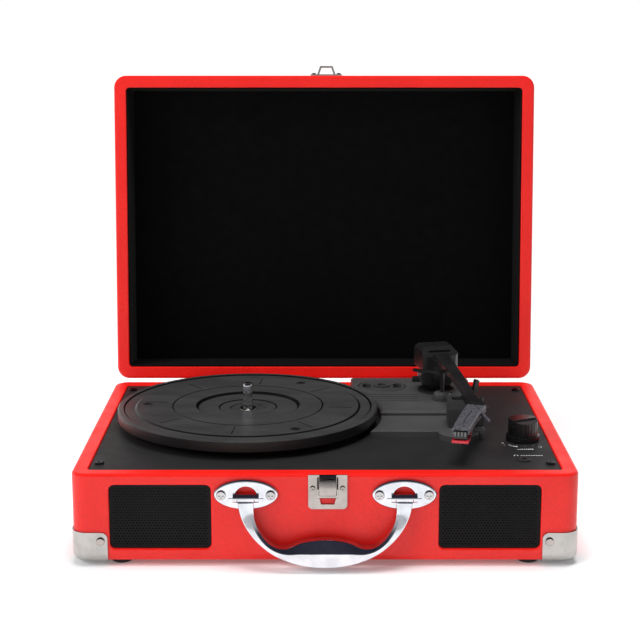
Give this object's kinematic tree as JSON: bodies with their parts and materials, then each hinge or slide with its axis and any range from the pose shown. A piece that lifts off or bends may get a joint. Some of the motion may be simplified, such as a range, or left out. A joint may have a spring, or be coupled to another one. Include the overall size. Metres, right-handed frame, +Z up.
{
  "type": "suitcase record player",
  "caption": "Portable suitcase turntable: red leatherette case with hinged lid, belt-driven platter, tonearm with cueing lever, front speakers and drop handle",
  "frame": {"origin": "on the surface the player stands on, under the middle of the base case", "axes": "+X is the player's right, +Y is its back, +Z is up; the front with the handle faces -Y"},
  "size_m": [0.3546, 0.3548, 0.3281],
  "materials": {
    "red_leatherette": "red grained leatherette over board",
    "black_lining": "black flocked lining",
    "black_rubber": "moulded rubber",
    "bright_chrome": "polished plating",
    "satin_chrome": "satin plating",
    "bright_screws": "plated cross-head screws",
    "dark_screws": "blackened screws",
    "deck_black": "fine matte texture",
    "platter_black": "satin moulded",
    "arm_black": "satin moulded",
    "shell_grey": "speckled grey",
    "ruby_plastic": "clear ruby",
    "gloss_black": "polished",
    "turned_steel": "turned",
    "motor_steel": "zinc plated",
    "nylon": "natural nylon",
    "grille_black": "black perforated sheet",
    "cone_paper": "pressed paper",
    "magnet_ceramic": "sintered ferrite",
    "board_green": "printed circuit board",
    "part_plastic": "component cases",
    "socket_plastic": "socket bodies"
  },
  "bodies": {
    "case": {"base_shell": "red_leatherette", "feet": "black_rubber", "corner_protectors": "bright_chrome", "rivets": "satin_chrome", "deck_panel": "deck_black", "deck_screws": "dark_screws", "base_hinge_leaves": "satin_chrome", "pins": "turned_steel", "case_screws": "bright_screws", "latch_plate": "satin_chrome", "handle_brackets": "bright_chrome", "spindle": "turned_steel", "spindle_clip": "gloss_black", "spindle_housing": "motor_steel", "motor": "motor_steel", "motor_bracket": "motor_steel", "motor_grommets": "black_rubber", "drive_belt": "black_rubber", "arm_platform": "arm_black", "arm_rest": "arm_black", "arm_base": "arm_black", "switch_bodies": "part_plastic", "volume_pot": "motor_steel", "headphone_jack": "socket_plastic", "amplifier_board": "board_green", "board_parts": "part_plastic", "rear_plate": "deck_black", "rca_jacks": "turned_steel", "dc_inlet": "socket_plastic", "speaker_grilles": "grille_black", "speaker_baskets": "motor_steel", "speaker_cones": "cone_paper", "speaker_magnets": "magnet_ceramic", "chassis_screws": "dark_screws"},
    "lid": {"lid_shell": "red_leatherette", "lid_lining": "black_lining", "lid_catch": "satin_chrome", "lid_hinge_leaves": "satin_chrome", "lid_fasteners": "bright_screws"},
    "platter_body": {"platter": "platter_black", "platter_pads": "black_rubber", "platter_bush": "nylon"},
    "pulley_body": {"motor_pulley": "turned_steel"},
    "turret": {"arm_turret": "arm_black"},
    "tonearm": {"arm_housing": "arm_black", "arm_pin": "turned_steel", "tonearm_beam": "arm_black", "headshell": "shell_grey", "cartridge": "gloss_black", "cartridge_clips": "satin_chrome", "stylus_holder": "ruby_plastic", "stylus": "turned_steel"},
    "cue": {"cue_lever": "arm_black"},
    "lift_bar": {"lifter": "arm_black"},
    "knob": {"volume_knob": "arm_black"},
    "speed_switch": {"speed_slider": "arm_black"},
    "auto_stop_switch": {"auto_stop_slider": "arm_black"},
    "adapter": {"single_adapter": "arm_black"},
    "bail": {"handle": "bright_chrome"},
    "latch": {"latch_lever": "satin_chrome"}
  },
  "joints": [
    {"name": "lid_hinge", "type": "hinge", "parent": "case", "child": "lid", "pos_m": [0, 0.13095, 0.0645], "axis": [-1, 0, 0], "range_deg": [-96.1, 0]},
    {"name": "platter_spin", "type": "hinge", "parent": "case", "child": "platter_body", "pos_m": [-0.0587, 0.0062, 0.0797], "axis": [0, 0, -1], "continuous": true},
    {"name": "pulley_spin", "type": "hinge", "parent": "case", "child": "pulley_body", "pos_m": [-0.1181, 0.0656, 0.072], "axis": [0, 0, -1], "continuous": true},
    {"name": "tonearm_swing", "type": "hinge", "parent": "case", "child": "turret", "pos_m": [0.09, 0.0695, 0.09], "axis": [0, 0, -1], "range_deg": [0, 50]},
    {"name": "tonearm_lift", "type": "hinge", "parent": "turret", "child": "tonearm", "pos_m": [0.09, 0.0695, 0.1007], "axis": [-0.9767, -0.2147, 0], "range_deg": [0, 8]},
    {"name": "cue_lever_turn", "type": "hinge", "parent": "case", "child": "cue", "pos_m": [0.114, -0.0053, 0.0691], "axis": [-0.3574, 0.934, 0], "range_deg": [0, 60]},
    {"name": "lifter_rise", "type": "slide", "parent": "case", "child": "lift_bar", "axis": [0, 0, 1], "range_m": [0, 0.00406]},
    {"name": "volume_turn", "type": "hinge", "parent": "case", "child": "knob", "pos_m": [0.146, -0.0415, 0.075], "axis": [0, 0, -1], "range_deg": [0, 300]},
    {"name": "speed_slide", "type": "slide", "parent": "case", "child": "speed_switch", "axis": [1, 0, 0], "range_m": [0, 0.008]},
    {"name": "auto_stop_slide", "type": "slide", "parent": "case", "child": "auto_stop_switch", "axis": [1, 0, 0], "range_m": [0, 0.008]},
    {"name": "adapter_lift", "type": "slide", "parent": "case", "child": "adapter", "axis": [0, 0, 1], "range_m": [0, 0.03]},
    {"name": "handle_swing", "type": "hinge", "parent": "case", "child": "bail", "pos_m": [0, -0.1312, 0.0507], "axis": [-1, 0, 0], "range_deg": [0, 100]},
    {"name": "latch_turn", "type": "hinge", "parent": "case", "child": "latch", "pos_m": [0.0018, -0.1314, 0.0527], "axis": [1, 0, 0], "range_deg": [0, 100]}
  ],
  "couplings": [
    {"joint": "pulley_spin", "follows": "platter_spin", "ratio": 30},
    {"joint": "cue_lever_turn", "follows": "tonearm_lift", "ratio": 7.5},
    {"joint": "lifter_rise", "follows": "tonearm_lift", "m_per_rad": 0.029}
  ]
}
